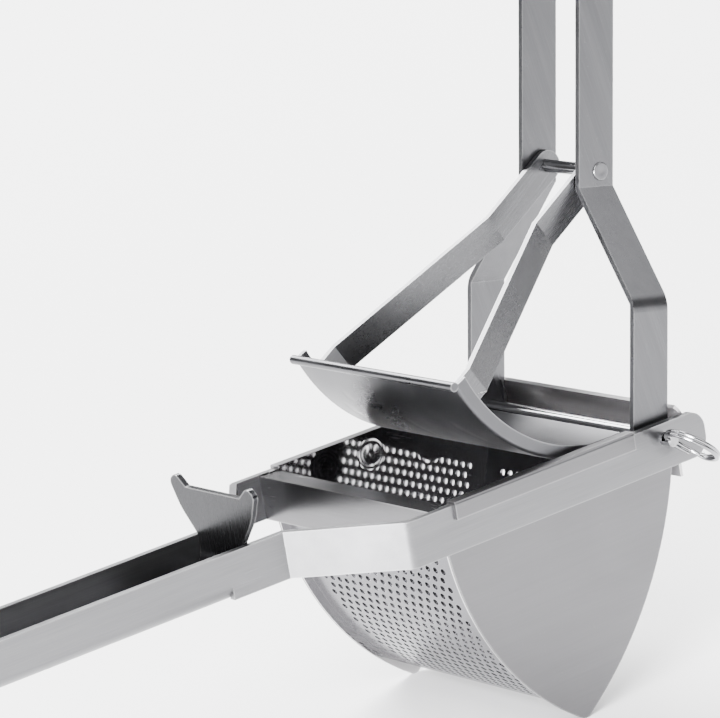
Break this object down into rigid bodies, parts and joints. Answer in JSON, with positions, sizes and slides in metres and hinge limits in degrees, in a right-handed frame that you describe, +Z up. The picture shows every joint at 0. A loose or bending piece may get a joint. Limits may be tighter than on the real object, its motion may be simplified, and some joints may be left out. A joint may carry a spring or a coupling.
{
  "type": "potato ricer",
  "caption": "Stainless steel potato ricer: V-shaped perforated hopper on a long lower handle, hinged upper handle with a curved plunger, and a pull-out axle pin with a split ring.",
  "frame": {"origin": "middle of the lower edge of the front cross plate, where the rim of a pot bears", "axes": "+X from the lower handle towards the axle, +Y across the tool to its left, +Z up towards the open upper handle"},
  "size_m": [0.4613, 0.1235, 0.4586],
  "materials": {
    "frame_steel": "brushed along the rails, satin",
    "hopper_steel": "polished inside, finely brushed outside",
    "sieve_steel": "smooth rolled sheet, punched",
    "handle_steel": "brushed along the straps, satin",
    "plunger_steel": "smooth, polished",
    "pin_steel": "polished bar",
    "ring_steel": "polished wire"
  },
  "bodies": {
    "hopper_frame": {"lower_handle": "frame_steel", "handle_rest": "frame_steel", "front_cross_plate": "hopper_steel", "rear_cross_plate": "hopper_steel", "left_side_plate": "hopper_steel", "right_side_plate": "hopper_steel", "front_sieve": "sieve_steel", "rear_sieve": "sieve_steel"},
    "press_handle": {"upper_handle": "handle_steel", "bail_pin": "pin_steel", "axle_tube": "pin_steel"},
    "plunger": {"left_bail_arm": "handle_steel", "right_bail_arm": "handle_steel", "bail_spacer": "pin_steel", "plunger_plate": "plunger_steel"},
    "axle_pin": {"release_pin": "pin_steel"},
    "ring": {"pull_ring": "ring_steel"}
  },
  "joints": [
    {"name": "handle_swing", "type": "hinge", "parent": "hopper_frame", "child": "press_handle", "pos_m": [0.1004, 0, 0.0105], "axis": [0, -1, 0], "range_deg": [0, 76]},
    {"name": "plunger_swing", "type": "hinge", "parent": "press_handle", "child": "plunger", "pos_m": [0.11786, 0, 0.09787], "axis": [0, -1, 0], "range_deg": [-0.7, 0]},
    {"name": "pin_slide", "type": "slide", "parent": "hopper_frame", "child": "axle_pin", "axis": [0, -1, 0], "range_m": [0, 0.106]},
    {"name": "ring_swing", "type": "hinge", "parent": "axle_pin", "child": "ring", "pos_m": [0.1004, -0.0526, 0.0105], "axis": [0.7314, 0, -0.682], "range_deg": [-60, 60]}
  ],
  "couplings": [
    {"joint": "plunger_swing", "follows": "handle_swing", "ratio": -0.008}
  ]
}
